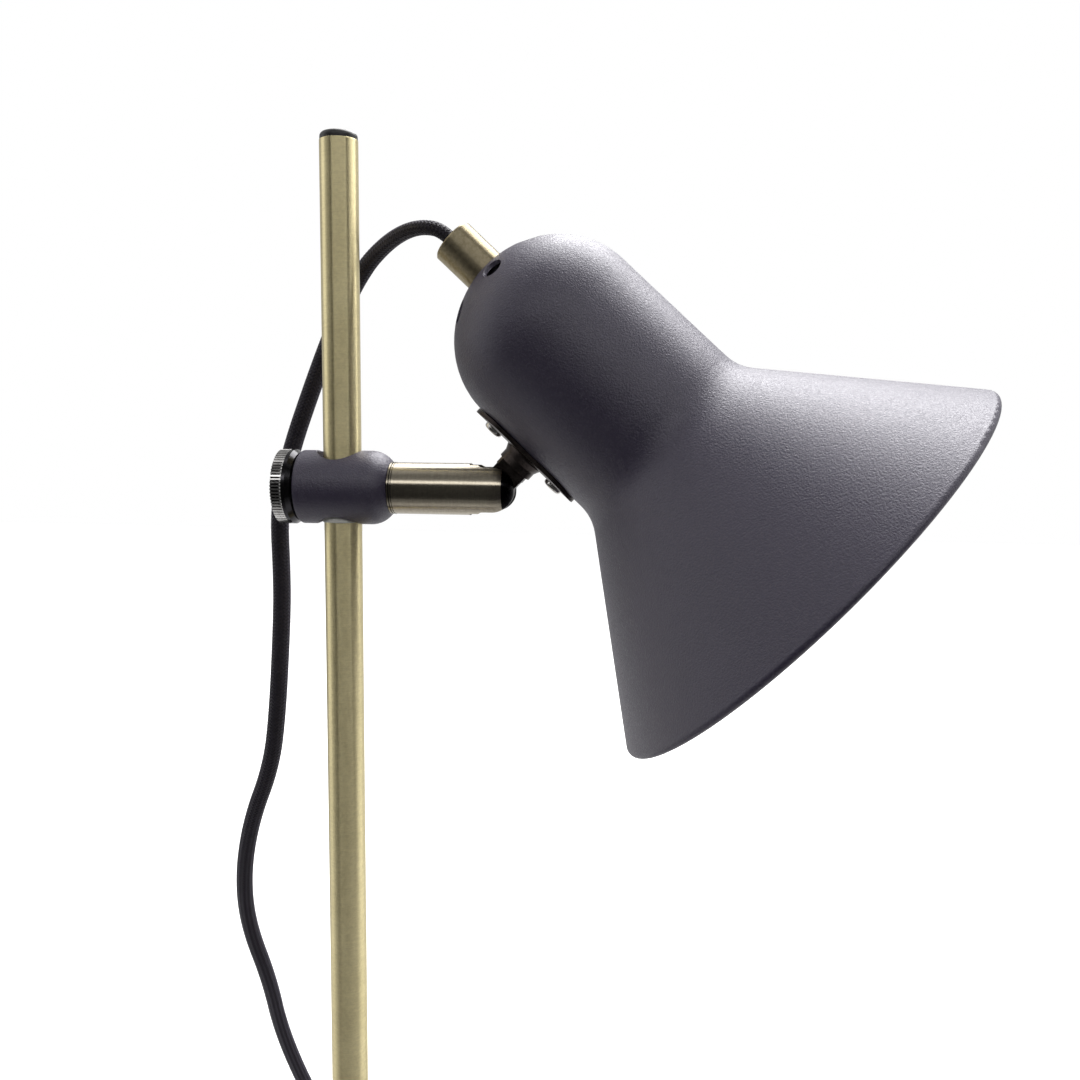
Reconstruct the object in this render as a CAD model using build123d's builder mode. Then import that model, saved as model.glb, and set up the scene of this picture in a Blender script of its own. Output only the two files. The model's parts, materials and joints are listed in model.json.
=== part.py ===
from build123d import *
from math import atan2, cos, pi, radians, sin, sqrt, tan
import os

# Desk lamp on a round weighted base. A clamp slides and turns on a plain brass post, and a short arm
# carries a bell shade on a tilting knuckle. Millimetres, +Z up. The origin is on the post's axis at
# the underside of the felt pad. +X is the way the arm points.

os.makedirs("parts", exist_ok=True)

# ---- driving dimensions -------------------------------------------------------------------------

fit = 0.05  # radial gap of a turned or threaded fit
running = 0.03  # radial gap where the sleeve slides on the post
seat = 0.02  # gap between faces that are screwed together
spare = 1.0  # how far a cut runs past what it cuts

# base
base_radius = 80.0
base_height = 15.0
base_edge = 4.0  # rounding of the cover's top edge
cover_wall = 1.5
cover_lift = 1.0  # the cover's rim stays this far above the table
pad_thickness = 2.0
pad_margin = 2.5  # felt stays this far inside the cover's wall
nut_well_radius = 14.0
nut_well_depth = 7.0

# post
post_radius = 6.35
post_wall = 1.2
post_top = 447.4
post_lip = 0.3
nipple_radius = 5.0
nipple_reach = 30.0  # length inside the post
nut_across = 17.0
nut_height = 4.6
washer_radius = 10.5
washer_thickness = 1.5
collar_radius = 12.5
collar_height = 9.0
collar_chamfer = 2.0
plug_head_inset = 0.15  # of the plug's head from the post's side
plug_head_height = 2.3
plug_head_round = 1.6
plug_crown = 0.35  # rise of the head's top between its rounded edges
plug_stem = 9.0

# clamp and arm, about the arm's axis
clamp_height = 334.0
barrel_radius = 12.39
barrel_left = -13.9
barrel_right = 17.15
barrel_left_round = 1.1
barrel_right_round = 8.5
barrel_shoulder = 10.2  # where the right end starts to round
bore_radius = 7.65
bore_edge = 0.3  # chamfer of the bore's rims
sleeve_wall = 0.4
sleeve_below = 11.6  # how far the sleeve reaches under the arm's axis
sleeve_above = 8.0
thread_radius = 2.9  # thumb screw and arm stud
stud_depth = 8.3  # arm stud in the barrel
stud_chamfer = 0.4
ring_radius = 8.7
ring_thickness = 1.6
ring_groove = 0.35
arm_radius = 8.62
arm_stud_reach = 11.0  # arm stud in the arm
flat_half_height = 7.35
flat_start = 46.0
flat_run = 2.2  # length of the ramp down to each flat
pivot_x = 51.7
nose_round = 7.0
slot_width = 6.2
tongue_thickness = 5.0
tongue_radius = 7.0
tongue_room = 0.6  # between the tongue and the slot's end
pivot_radius = 2.0
pivot_head_radius = 3.4
pivot_head_seat = 4.6  # distance of the head's seat from the lamp's middle plane
pivot_head_height = 2.4
pivot_head_chamfer = 0.4
pivot_socket_across = 3.0
pivot_socket_depth = 1.4
pivot_tail = 2.4  # length of the screw in the slot's far cheek
pivot_washer_radius = 6.0

# thumb screw
wheel_radius = 12.6
wheel_face = -21.0
knurl_right = -17.3
shoulder_right = -16.1
wheel_inner = -14.7
wheel_inner_radius = 11.4
knurl_teeth = 70
knurl_depth = 0.42
knurl_land = 0.5  # share of the pitch at the full radius
knurl_flank = 0.15  # share of the pitch that each side of a flute takes
wheel_dish_radius = 8.5
wheel_dish_depth = 0.8
screw_in_wheel = 4.0
brake_radius = 2.4
brake_thickness = 1.3

# knuckle and plate, square to the shade's axis
shade_droop = 42.94  # degrees below level
pivot_to_axis = 49.8
pivot_station = 50.85  # along the shade's axis from its apex
neck_width = 10.4
neck_thickness = 8.4
neck_chamfer = 0.8
tongue_width = 10.0
neck_start = 7.9
neck_collar = 10.4
neck_collar_radius = 6.25
neck_flare = 12.9
neck_flare_radius = 7.25
plate_length = 43.3
plate_width = 20.0
plate_thickness = 1.3
plate_spigot_radius = 3.0
screw_spacing = 27.0
screw_radius = 1.6
screw_head_radius = 3.3
screw_head_height = 1.5
screw_head_round = 0.9
screw_cross_length = 3.4
screw_cross_width = 0.8
screw_cross_depth = 0.8
screw_nut_across = 5.5
screw_nut_height = 2.4
screw_tail = 0.8

# shade
dome_depth = 31.1
cap_radius = 33.1
neck_radius = 33.4  # of the shade, where the cap meets the cone
shade_corner = 80.9
shade_length = 140.7  # along its axis, to where the rim starts to roll in
rim_radius = 79.6  # of the cone's outside there
flare_radius = 15.2
shade_wall = 1.2
bead_radius = 1.6  # of the rolled rim, which is smooth with the cone's outside
vent_radius = 3.55
vent_circle = 18.0
vent_count = 6
vent_phase = 51.5  # degrees from +Y to the first vent

# cord gland and lampholder, along the shade's axis
gland_radius = 7.5
gland_length = 14.6
gland_lip = 0.6
gland_thread = 4.9
cord_radius = 3.2
cord_bore = 3.3
gland_nut_across = 14.0
gland_nut_height = 2.5
gland_nut_station = 2.4
holder_start = 5.2
holder_cap_length = 15.0
holder_neck_radius = 9.0
holder_radius = 20.0
holder_length = 48.0
holder_wall = 1.6
holder_neck_length = 5.0
insert_thickness = 8.0
wire_hole_radius = 1.6
wire_hole_spacing = 10.4
contact_length = 14.0
contact_width = 6.0
contact_thickness = 1.0
thread_wall = 1.0
thread_short = 2.0  # the thread shell ends this far before the bulb's housing
cord_tail = 6.0  # length of cord inside the holder's cap
bulb_cap_radius = 13.2
bulb_cap_length = 22.0
bulb_cap_wall = 0.8
bulb_cap_chamfer = 3.0
bulb_tip_radius = 4.0
bulb_start = 31.5
bulb_housing_length = 15.0
bulb_housing_radius = 17.5
globe_radius = 22.5
globe_wall = 1.2

# mains switch and plug on the cord
switch_length = 60.0
switch_width = 26.0
switch_height = 18.0
switch_split = 9.0
switch_round = 6.0
switch_wall = 2.0
switch_base_chamfer = 1.0
switch_cover_chamfer = 1.5
switch_x = 34.0
switch_y = 149.0
rocker_length = 17.0
rocker_width = 10.0
rocker_gap = 0.4
rocker_rise = 1.6
rocker_tilt = 7.0
rocker_drop = 6.0  # how far its underside is under its trunnions
rocker_dip = 1.4  # how far its middle lies under its ends
rocker_taper = 1.0
rocker_axis_depth = 3.0  # of the trunnions under the cover's top
trunnion_radius = 1.2
trunnion_length = 1.0
cheek_length = 27.0  # of the cover's block round the rocker
cheek_wall = 1.0
plug_x = 136.4
plug_y = 85.0
plug_width = 35.3
plug_height = 13.7
plug_length = 36.0
plug_taper = 12.0
plug_neck_width = 13.0
plug_neck_height = 8.4
pin_radius = 2.0
pin_length = 19.0
pin_spacing = 19.0
pin_chamfer = 0.8

# put-away coil
coil_x = 100.0
coil_y = 116.0
coil_radius = 33.0
coil_width = 13.6
coil_lift = 1.1
coil_height = 19.8
tie_thickness = 0.7
tie_width = 8.0
tie_gap = 0.35

# ---- derived places -----------------------------------------------------------------------------

arm_axis = Axis((0, 0, clamp_height), (1, 0, 0))
post_axis = Axis((0, 0, 0), (0, 0, 1))
arm_plane = Plane(origin=(0, 0, clamp_height), x_dir=(1, 0, 0), z_dir=(0, -1, 0))
pivot = Vector(pivot_x, 0, clamp_height)
along = Vector(cos(radians(shade_droop)), 0, -sin(radians(shade_droop)))
toward = Vector(sin(radians(shade_droop)), 0, cos(radians(shade_droop)))
apex = pivot + toward * pivot_to_axis - along * pivot_station
shade_axis = Axis(apex, along)
neck_axis = Axis(pivot, toward)
bell_plane = Plane(origin=apex, x_dir=along, z_dir=(0, -1, 0))
neck_plane = Plane(origin=pivot, x_dir=along, z_dir=(0, -1, 0))
plate_seat = pivot_to_axis - neck_radius  # from the pivot to the shade
post_inner = post_radius - post_wall
sleeve_inner = post_radius + running
sleeve_outer = sleeve_inner + sleeve_wall
bore_x = sleeve_outer + fit - bore_radius
cover_inner_top = base_height - cover_wall
weight_top = cover_inner_top - seat
weight_web = pad_thickness + nut_well_depth
ring_left = barrel_right + seat
arm_left = ring_left + ring_thickness + seat
stud_bore = thread_radius + fit


def across_plane(station):
    """The plane square to the shade's axis at a station from its apex, with local x along Y."""
    return Plane(origin=apex + along * station, x_dir=(0, 1, 0), z_dir=along)


def neck_section(distance):
    """The plane square to the knuckle's neck, with local x along the shade's axis."""
    return Plane(origin=pivot + toward * distance, x_dir=along, z_dir=toward)


def right_plane(x):
    """The plane square to the arm's axis, with local x along Y."""
    return Plane(origin=(x, 0, clamp_height), x_dir=(0, 1, 0), z_dir=(1, 0, 0))


def facing(point, sign):
    """The plane through a point that faces along +Y or -Y, with local x along X."""
    return Plane(origin=point, x_dir=(1, 0, 0), z_dir=(0, sign, 0))


# ---- base ---------------------------------------------------------------------------------------

with BuildPart() as base_cover:
    with BuildSketch(Plane.XY.offset(cover_lift)):
        Circle(base_radius)
    extrude(amount=base_height - cover_lift)
    fillet(base_cover.edges().sort_by(Axis.Z)[-1], radius=base_edge)
    offset(amount=-cover_wall, openings=base_cover.faces().sort_by(Axis.Z)[0])
    with BuildSketch(Plane.XY.offset(base_height)):
        Circle(nipple_radius + fit)
    extrude(amount=-2 * cover_wall, mode=Mode.SUBTRACT)
base_cover.part.label = "base_cover"
export_step(base_cover.part, "parts/base_cover.step")

with BuildPart() as base_weight:
    with BuildSketch(Plane.XY.offset(pad_thickness + seat)):
        Circle(base_radius - cover_wall - 0.3)
    extrude(amount=weight_top - pad_thickness - seat)
    fillet(base_weight.edges().sort_by(Axis.Z)[-1], radius=base_edge)
    with BuildSketch(Plane.XY.offset(pad_thickness)):
        Circle(nut_well_radius)
    extrude(amount=nut_well_depth, mode=Mode.SUBTRACT)
    with BuildSketch(Plane.XY):
        Circle(nipple_radius + fit)
    extrude(amount=base_height, mode=Mode.SUBTRACT)
base_weight.part.label = "base_weight"
export_step(base_weight.part, "parts/base_weight.step")

with BuildPart() as base_pad:
    with BuildSketch(Plane.XY):
        Circle(base_radius - cover_wall - pad_margin)
    extrude(amount=pad_thickness)
base_pad.part.label = "base_pad"
export_step(base_pad.part, "parts/base_pad.step")

# ---- post ---------------------------------------------------------------------------------------

with BuildPart() as post_tube:
    with BuildSketch(Plane.XY.offset(base_height + seat)):
        Circle(post_radius)
        Circle(post_inner, mode=Mode.SUBTRACT)
    extrude(amount=post_top - base_height - seat)
    rims = post_tube.edges().filter_by(GeomType.CIRCLE).group_by(Axis.Z)[-1]
    fillet(rims.sort_by(SortBy.RADIUS)[-1], radius=post_lip)
post_tube.part.label = "post_tube"
export_step(post_tube.part, "parts/post_tube.step")

plug_radius = post_inner - fit
plug_head_radius = post_radius - plug_head_inset
plug_head_top = post_top + plug_head_height
stem_bottom = post_top - plug_stem
with BuildPart() as post_plug:
    with BuildSketch(Plane.XZ):
        with BuildLine():
            crown_top = plug_head_top + plug_crown
            crown = TangentArc((0, crown_top), (plug_head_radius, plug_head_top), tangent=(1, 0))
            Polyline(
                crown @ 1,
                (plug_head_radius, post_top + seat),
                (plug_radius, post_top + seat),
                (plug_radius, stem_bottom),
                (0, stem_bottom),
                crown @ 0,
            )
        make_face()
    revolve(axis=post_axis)
    circles = post_plug.edges().filter_by(GeomType.CIRCLE)
    head_rim = circles.filter_by_position(Axis.Z, plug_head_top - fit, plug_head_top + fit)
    fillet(head_rim, radius=plug_head_round)
post_plug.part.label = "post_plug"
export_step(post_plug.part, "parts/post_plug.step")

with BuildPart() as post_nipple:
    with BuildSketch(Plane.XY.offset(pad_thickness + seat)):
        Circle(nipple_radius)
        Circle(cord_bore, mode=Mode.SUBTRACT)
    extrude(amount=base_height + nipple_reach - pad_thickness)
post_nipple.part.label = "post_nipple"
export_step(post_nipple.part, "parts/post_nipple.step")

with BuildPart() as post_washer:
    with BuildSketch(Plane.XY.offset(weight_web - seat)):
        Circle(washer_radius)
        Circle(nipple_radius + fit, mode=Mode.SUBTRACT)
    extrude(amount=-washer_thickness)
post_washer.part.label = "post_washer"
export_step(post_washer.part, "parts/post_washer.step")

with BuildPart() as post_nut:
    with BuildSketch(Plane.XY.offset(weight_web - washer_thickness - 2 * seat)):
        RegularPolygon(nut_across / 2, 6, major_radius=False)
        Circle(nipple_radius + fit, mode=Mode.SUBTRACT)
    extrude(amount=-nut_height)
post_nut.part.label = "post_nut"
export_step(post_nut.part, "parts/post_nut.step")

with BuildPart() as post_collar:
    with BuildSketch(Plane.XY.offset(base_height + seat)):
        Circle(collar_radius)
    extrude(amount=collar_height)
    chamfer(post_collar.edges().sort_by(Axis.Z)[-1], length=collar_chamfer)
    with BuildSketch(Plane.XY.offset(base_height)):
        Circle(post_radius + fit)
    extrude(amount=2 * collar_height, mode=Mode.SUBTRACT)
post_collar.part.label = "post_collar"
export_step(post_collar.part, "parts/post_collar.step")

# ---- clamp --------------------------------------------------------------------------------------

with BuildPart() as post_sleeve:
    with BuildSketch(Plane.XY.offset(clamp_height - sleeve_below)):
        Circle(sleeve_outer)
        Circle(sleeve_inner, mode=Mode.SUBTRACT)
    extrude(amount=sleeve_below + sleeve_above)
post_sleeve.part.label = "post_sleeve"
export_step(post_sleeve.part, "parts/post_sleeve.step")

shoulder_core = barrel_radius - barrel_right_round
shoulder_reach = barrel_right - barrel_shoulder
barrel_end_radius = shoulder_core + sqrt(barrel_right_round**2 - shoulder_reach**2)

with BuildPart() as slider_body:
    with BuildSketch(arm_plane):
        with BuildLine():
            left_end = Line((barrel_left, 0), (barrel_left, barrel_radius))
            side = Line(left_end @ 1, (barrel_shoulder, barrel_radius))
            shoulder = TangentArc(side @ 1, (barrel_right, barrel_end_radius), tangent=side % 1)
            Polyline(shoulder @ 1, (barrel_right, 0), left_end @ 0)
        make_face()
    revolve(axis=arm_axis)
    left_rim = slider_body.edges().filter_by(GeomType.CIRCLE).sort_by(Axis.X)[0]
    fillet(left_rim, radius=barrel_left_round)
    with BuildSketch(Plane(origin=(bore_x, 0, clamp_height))):
        Circle(bore_radius)
    extrude(amount=2 * barrel_radius, both=True, mode=Mode.SUBTRACT)
    bore_face = slider_body.faces().filter_by(GeomType.CYLINDER).sort_by(SortBy.AREA)[-2]
    chamfer(bore_face.edges().filter_by(lambda edge: not edge.geom_type == GeomType.LINE), length=bore_edge)
    with BuildSketch(right_plane(barrel_left)):
        Circle(stud_bore)
    extrude(amount=bore_x - barrel_left, mode=Mode.SUBTRACT)
    with BuildSketch(right_plane(barrel_right)):
        Circle(stud_bore)
    extrude(amount=-stud_depth, mode=Mode.SUBTRACT)
slider_body.part.label = "slider_body"
export_step(slider_body.part, "parts/slider_body.step")

with BuildPart() as brake_pad:
    with BuildSketch(right_plane(-sleeve_outer - fit)):
        Circle(brake_radius)
    extrude(amount=-brake_thickness)
brake_pad.part.label = "brake_pad"
export_step(brake_pad.part, "parts/brake_pad.step")
screw_tip = -sleeve_outer - fit - brake_thickness - seat

with BuildPart() as thumb_stud:
    with BuildSketch(right_plane(screw_tip)):
        Circle(thread_radius)
    extrude(amount=wheel_inner - screw_in_wheel - screw_tip)
    chamfer(thumb_stud.edges().sort_by(Axis.X)[-1], length=stud_chamfer)
thumb_stud.part.label = "thumb_stud"
export_step(thumb_stud.part, "parts/thumb_stud.step")

# The wheel's knurl is a ring of straight flutes, each with a narrow land at the full radius.
knurl_pitch = 2 * pi / knurl_teeth
knurl_steps = [
    (wheel_radius, 0),
    (wheel_radius, knurl_land),
    (wheel_radius - knurl_depth, knurl_land + knurl_flank),
    (wheel_radius - knurl_depth, 1 - knurl_flank),
]
knurl_points = [
    (radius * cos((tooth + share) * knurl_pitch), radius * sin((tooth + share) * knurl_pitch))
    for tooth in range(knurl_teeth)
    for radius, share in knurl_steps
]

with BuildPart() as thumb_wheel:
    with BuildSketch(right_plane(wheel_face)):
        with BuildLine():
            Polyline(*knurl_points, close=True)
        make_face()
    extrude(amount=knurl_right - wheel_face)
    with BuildSketch(arm_plane):
        Polygon(
            (knurl_right - spare, 0),
            (knurl_right - spare, wheel_radius - knurl_depth),
            (knurl_right, wheel_radius),
            (shoulder_right, wheel_radius),
            (wheel_inner, wheel_inner_radius),
            (wheel_inner, 0),
            align=None,
        )
    revolve(axis=arm_axis)
    with BuildSketch(right_plane(wheel_face)):
        Circle(wheel_dish_radius)
    extrude(amount=wheel_dish_depth, mode=Mode.SUBTRACT)
    with BuildSketch(right_plane(wheel_inner)):
        Circle(stud_bore)
    extrude(amount=-screw_in_wheel - seat, mode=Mode.SUBTRACT)
thumb_wheel.part.label = "thumb_wheel"
export_step(thumb_wheel.part, "parts/thumb_wheel.step")

# ---- arm ----------------------------------------------------------------------------------------

with BuildPart() as arm_ring:
    with BuildSketch(right_plane(ring_left)):
        Circle(ring_radius)
        Circle(stud_bore, mode=Mode.SUBTRACT)
    extrude(amount=ring_thickness)
    with BuildSketch(right_plane(ring_left + ring_thickness / 2)):
        Circle(ring_radius)
        Circle(ring_radius - ring_groove, mode=Mode.SUBTRACT)
    extrude(amount=ring_groove / 2, both=True, mode=Mode.SUBTRACT)
arm_ring.part.label = "arm_ring"
export_step(arm_ring.part, "parts/arm_ring.step")

with BuildPart() as arm_stud:
    with BuildSketch(right_plane(barrel_right - stud_depth + seat)):
        Circle(thread_radius)
    extrude(amount=arm_left + arm_stud_reach - barrel_right + stud_depth)
arm_stud.part.label = "arm_stud"
export_step(arm_stud.part, "parts/arm_stud.step")

# The arm is a round bar. Its end is milled flat above and below, rounded over, and slotted.
nose_tip = pivot_x + flat_half_height
nose_start = nose_tip - nose_round
slot_start = pivot_x - tongue_radius - tongue_room

with BuildPart() as arm_bar:
    with BuildSketch(arm_plane):
        with BuildLine():
            back = Line((arm_left, 0), (arm_left, arm_radius))
            top = Line(back @ 1, (nose_start, arm_radius))
            nose = RadiusArc(top @ 1, (nose_tip, arm_radius - nose_round), nose_round)
            Polyline(nose @ 1, (nose_tip, 0), back @ 0)
        make_face()
    revolve(axis=arm_axis)
    with BuildSketch(arm_plane):
        Polygon(
            (arm_left - spare, -arm_radius - spare),
            (flat_start, -arm_radius - spare),
            (flat_start, -arm_radius),
            (flat_start + flat_run, -flat_half_height),
            (pivot_x, -flat_half_height),
            (pivot_x, flat_half_height),
            (flat_start + flat_run, flat_half_height),
            (flat_start, arm_radius),
            (flat_start, arm_radius + spare),
            (arm_left - spare, arm_radius + spare),
            align=None,
        )
        with Locations((pivot_x, 0)):
            Circle(flat_half_height)
    extrude(amount=arm_radius, both=True, mode=Mode.INTERSECT)
    with BuildSketch(arm_plane):
        with Locations((slot_start, 0)):
            Rectangle(nose_tip, 2 * arm_radius, align=(Align.MIN, Align.CENTER))
    extrude(amount=slot_width / 2, both=True, mode=Mode.SUBTRACT)
    with BuildSketch(right_plane(arm_left)):
        Circle(stud_bore)
    extrude(amount=arm_stud_reach + seat, mode=Mode.SUBTRACT)
    with BuildSketch(facing(pivot + Vector(0, arm_radius, 0), -1)):
        Circle(pivot_head_radius + fit)
    extrude(amount=arm_radius - pivot_head_seat, mode=Mode.SUBTRACT)
    with BuildSketch(facing(pivot + Vector(0, arm_radius, 0), -1)):
        Circle(pivot_radius + fit)
    extrude(amount=arm_radius + slot_width / 2 + pivot_tail + fit, mode=Mode.SUBTRACT)
arm_bar.part.label = "arm_bar"
export_step(arm_bar.part, "parts/arm_bar.step")

with BuildPart() as pivot_screw:
    with BuildSketch(facing(pivot + Vector(0, pivot_head_seat + seat, 0), 1)):
        Circle(pivot_head_radius)
    extrude(amount=pivot_head_height)
    chamfer(pivot_screw.edges().sort_by(Axis.Y)[-1], length=pivot_head_chamfer)
    with BuildSketch(facing(pivot + Vector(0, pivot_head_seat + seat, 0), -1)):
        Circle(pivot_radius)
    extrude(amount=pivot_head_seat + slot_width / 2 + pivot_tail)
    with BuildSketch(facing(pivot + Vector(0, pivot_head_seat + pivot_head_height, 0), -1)):
        RegularPolygon(pivot_socket_across / 2, 6, major_radius=False)
    extrude(amount=pivot_socket_depth, mode=Mode.SUBTRACT)
pivot_screw.part.label = "pivot_screw"
export_step(pivot_screw.part, "parts/pivot_screw.step")

washer_gap = (slot_width - tongue_thickness) / 2
with BuildPart() as pivot_washers:
    for side_sign in (-1, 1):
        washer_y = side_sign * (tongue_thickness / 2 + seat)
        with BuildSketch(facing(pivot + Vector(0, washer_y, 0), side_sign)):
            Circle(pivot_washer_radius)
            Circle(pivot_radius + fit, mode=Mode.SUBTRACT)
        extrude(amount=washer_gap - 2 * seat)
pivot_washers.part.label = "pivot_washers"
export_step(pivot_washers.part, "parts/pivot_washers.step")

# ---- knuckle and plate --------------------------------------------------------------------------

plate_outer = plate_seat - seat - plate_thickness  # from the pivot to the plate's outer face
plate_inner_radius = pivot_to_axis - plate_seat + seat
plate_outer_radius = plate_inner_radius + plate_thickness

with BuildPart() as tilt_knuckle:
    with BuildSketch(neck_plane):
        Circle(tongue_radius)
        with Locations((0, neck_start / 2)):
            Rectangle(tongue_width, neck_start)
    extrude(amount=tongue_thickness / 2, both=True)
    with BuildSketch(neck_section(neck_start)):
        neck = Rectangle(neck_width, neck_thickness)
        chamfer(neck.vertices(), length=neck_chamfer)
    extrude(amount=neck_collar - neck_start)
    with BuildSketch(neck_plane):
        Polygon(
            (0, neck_collar),
            (neck_collar_radius, neck_collar),
            (neck_collar_radius, neck_flare),
            (neck_flare_radius, plate_outer - seat),
            (neck_flare_radius, plate_outer + plate_thickness),
            (0, plate_outer + plate_thickness),
            align=None,
        )
    revolve(axis=neck_axis)
    with BuildSketch(across_plane(pivot_station)):
        Circle(plate_outer_radius + seat)
    extrude(amount=plate_length, both=True, mode=Mode.SUBTRACT)
    with BuildSketch(neck_section(plate_outer - 2 * seat)):
        Circle(plate_spigot_radius)
    extrude(amount=plate_thickness)
    with BuildSketch(neck_plane):
        Circle(pivot_radius + fit)
    extrude(amount=tongue_thickness, both=True, mode=Mode.SUBTRACT)
tilt_knuckle.part.label = "tilt_knuckle"
export_step(tilt_knuckle.part, "parts/tilt_knuckle.step")

screw_spots = [Vector(-screw_spacing / 2, 0), Vector(screw_spacing / 2, 0)]

with BuildPart() as mount_plate:
    with BuildSketch(across_plane(pivot_station - plate_length / 2 - spare)):
        Circle(plate_outer_radius)
        Circle(plate_inner_radius, mode=Mode.SUBTRACT)
        with Locations((0, -plate_outer_radius)):
            Rectangle(plate_width + 2 * spare, plate_outer_radius, mode=Mode.INTERSECT)
    extrude(amount=plate_length + 2 * spare)
    with BuildSketch(neck_section(plate_outer - plate_thickness)):
        SlotOverall(plate_length, plate_width)
    extrude(amount=plate_outer_radius / 2, mode=Mode.INTERSECT)
    with BuildSketch(neck_section(0)):
        Circle(plate_spigot_radius + fit)
        with Locations(*screw_spots):
            Circle(screw_radius + fit)
    extrude(amount=pivot_to_axis, mode=Mode.SUBTRACT)
mount_plate.part.label = "mount_plate"
export_step(mount_plate.part, "parts/mount_plate.step")

nut_seat = pivot_to_axis - sqrt((cap_radius - shade_wall) ** 2 - (screw_nut_across / 2) ** 2) + seat

with BuildPart() as plate_screws:
    with BuildSketch(neck_section(plate_outer - seat)):
        with Locations(*screw_spots):
            Circle(screw_head_radius)
    extrude(amount=-screw_head_height)
    fillet(plate_screws.edges().group_by(neck_axis)[0], radius=screw_head_round)
    with BuildSketch(neck_section(plate_outer - seat - screw_head_height)):
        with Locations(*screw_spots):
            Rectangle(screw_cross_length, screw_cross_width)
            Rectangle(screw_cross_width, screw_cross_length)
    extrude(amount=screw_cross_depth, mode=Mode.SUBTRACT)
    with BuildSketch(neck_section(plate_outer - seat)):
        with Locations(*screw_spots):
            Circle(screw_radius)
    extrude(amount=nut_seat + screw_nut_height + screw_tail - plate_outer)
plate_screws.part.label = "plate_screws"
export_step(plate_screws.part, "parts/plate_screws.step")

with BuildPart() as plate_nuts:
    with BuildSketch(neck_section(nut_seat)):
        with Locations(*screw_spots):
            RegularPolygon(screw_nut_across / 2, 6, major_radius=False)
            Circle(screw_radius + fit, mode=Mode.SUBTRACT)
    extrude(amount=screw_nut_height)
plate_nuts.part.label = "plate_nuts"
export_step(plate_nuts.part, "parts/plate_nuts.step")

# ---- shade --------------------------------------------------------------------------------------

cone_angle = atan2(rim_radius - neck_radius, shade_length - shade_corner)
corner_shift = shade_wall * tan(cone_angle / 2)
inward = Vector(sin(cone_angle), -cos(cone_angle))  # from the cone's outside to its inside
rim_outer = Vector(shade_length, rim_radius)
rim_inner = rim_outer + inward * shade_wall

with BuildPart() as shade:
    with BuildSketch(bell_plane):
        with BuildLine():
            outer_dome = EllipticalCenterArc((dome_depth, 0), dome_depth, cap_radius, 90, arc_size=90)
            inner_dome = EllipticalCenterArc(
                (dome_depth, 0), dome_depth - shade_wall, cap_radius - shade_wall, 90, arc_size=90
            )
            Line(outer_dome @ 1, inner_dome @ 1)
            FilletPolyline(
                outer_dome @ 0,
                (shade_corner, neck_radius),
                rim_outer,
                radius=flare_radius,
            )
            Line(rim_outer, rim_inner)
            FilletPolyline(
                inner_dome @ 0,
                (shade_corner + corner_shift, neck_radius - shade_wall),
                rim_inner,
                radius=flare_radius + shade_wall,
            )
        make_face()
        with Locations(rim_outer + inward * bead_radius):
            Circle(bead_radius)
    revolve(axis=shade_axis)
    with BuildSketch(across_plane(0)):
        Circle(gland_thread + fit)
        with PolarLocations(vent_circle, vent_count, vent_phase):
            Circle(vent_radius)
    extrude(amount=dome_depth / 2, mode=Mode.SUBTRACT)
    with BuildSketch(neck_section(0)):
        with Locations(*screw_spots):
            Circle(screw_radius + fit)
    extrude(amount=pivot_to_axis, mode=Mode.SUBTRACT)
shade.part.label = "shade"
export_step(shade.part, "parts/shade.step")

# ---- cord gland and lampholder ------------------------------------------------------------------


def dome_station(radius):
    """Where the dome's outside is, along the shade's axis, at a radius."""
    return dome_depth * (1 - sqrt(1 - (radius / cap_radius) ** 2))


holder_neck_end = holder_start + holder_neck_length
holder_cap_end = holder_start + holder_cap_length

with BuildPart() as cord_gland:
    with BuildSketch(bell_plane):
        Polygon(
            (-gland_length, cord_bore),
            (-gland_length, gland_radius - gland_lip),
            (-gland_length + gland_lip, gland_radius),
            (dome_station(gland_radius) - 2 * seat, gland_radius),
            (dome_station(gland_thread + fit) - 2 * seat, gland_thread + fit),
            (dome_station(gland_thread + fit) - 2 * seat, gland_thread),
            (holder_start + holder_wall, gland_thread),
            (holder_start + holder_wall, cord_bore),
            align=None,
        )
    revolve(axis=shade_axis)
cord_gland.part.label = "cord_gland"
export_step(cord_gland.part, "parts/cord_gland.step")

with BuildPart() as gland_nut:
    with BuildSketch(across_plane(gland_nut_station)):
        RegularPolygon(gland_nut_across / 2, 6, major_radius=False)
        Circle(gland_thread + fit, mode=Mode.SUBTRACT)
    extrude(amount=gland_nut_height)
gland_nut.part.label = "gland_nut"
export_step(gland_nut.part, "parts/gland_nut.step")

with BuildPart() as holder_cap:
    with BuildSketch(bell_plane):
        Polygon(
            (holder_start, gland_thread + fit),
            (holder_start, holder_neck_radius),
            (holder_neck_end, holder_neck_radius),
            (holder_cap_end, holder_radius),
            (holder_cap_end, holder_radius - holder_wall),
            (holder_neck_end, holder_neck_radius - holder_wall),
            (holder_start + holder_wall, holder_neck_radius - holder_wall),
            (holder_start + holder_wall, gland_thread + fit),
            align=None,
        )
    revolve(axis=shade_axis)
holder_cap.part.label = "holder_cap"
export_step(holder_cap.part, "parts/holder_cap.step")

with BuildPart() as holder_sleeve:
    with BuildSketch(across_plane(holder_cap_end + seat)):
        Circle(holder_radius)
        Circle(holder_radius - holder_wall, mode=Mode.SUBTRACT)
    extrude(amount=holder_start + holder_length - holder_cap_end)
holder_sleeve.part.label = "holder_sleeve"
export_step(holder_sleeve.part, "parts/holder_sleeve.step")

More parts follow.
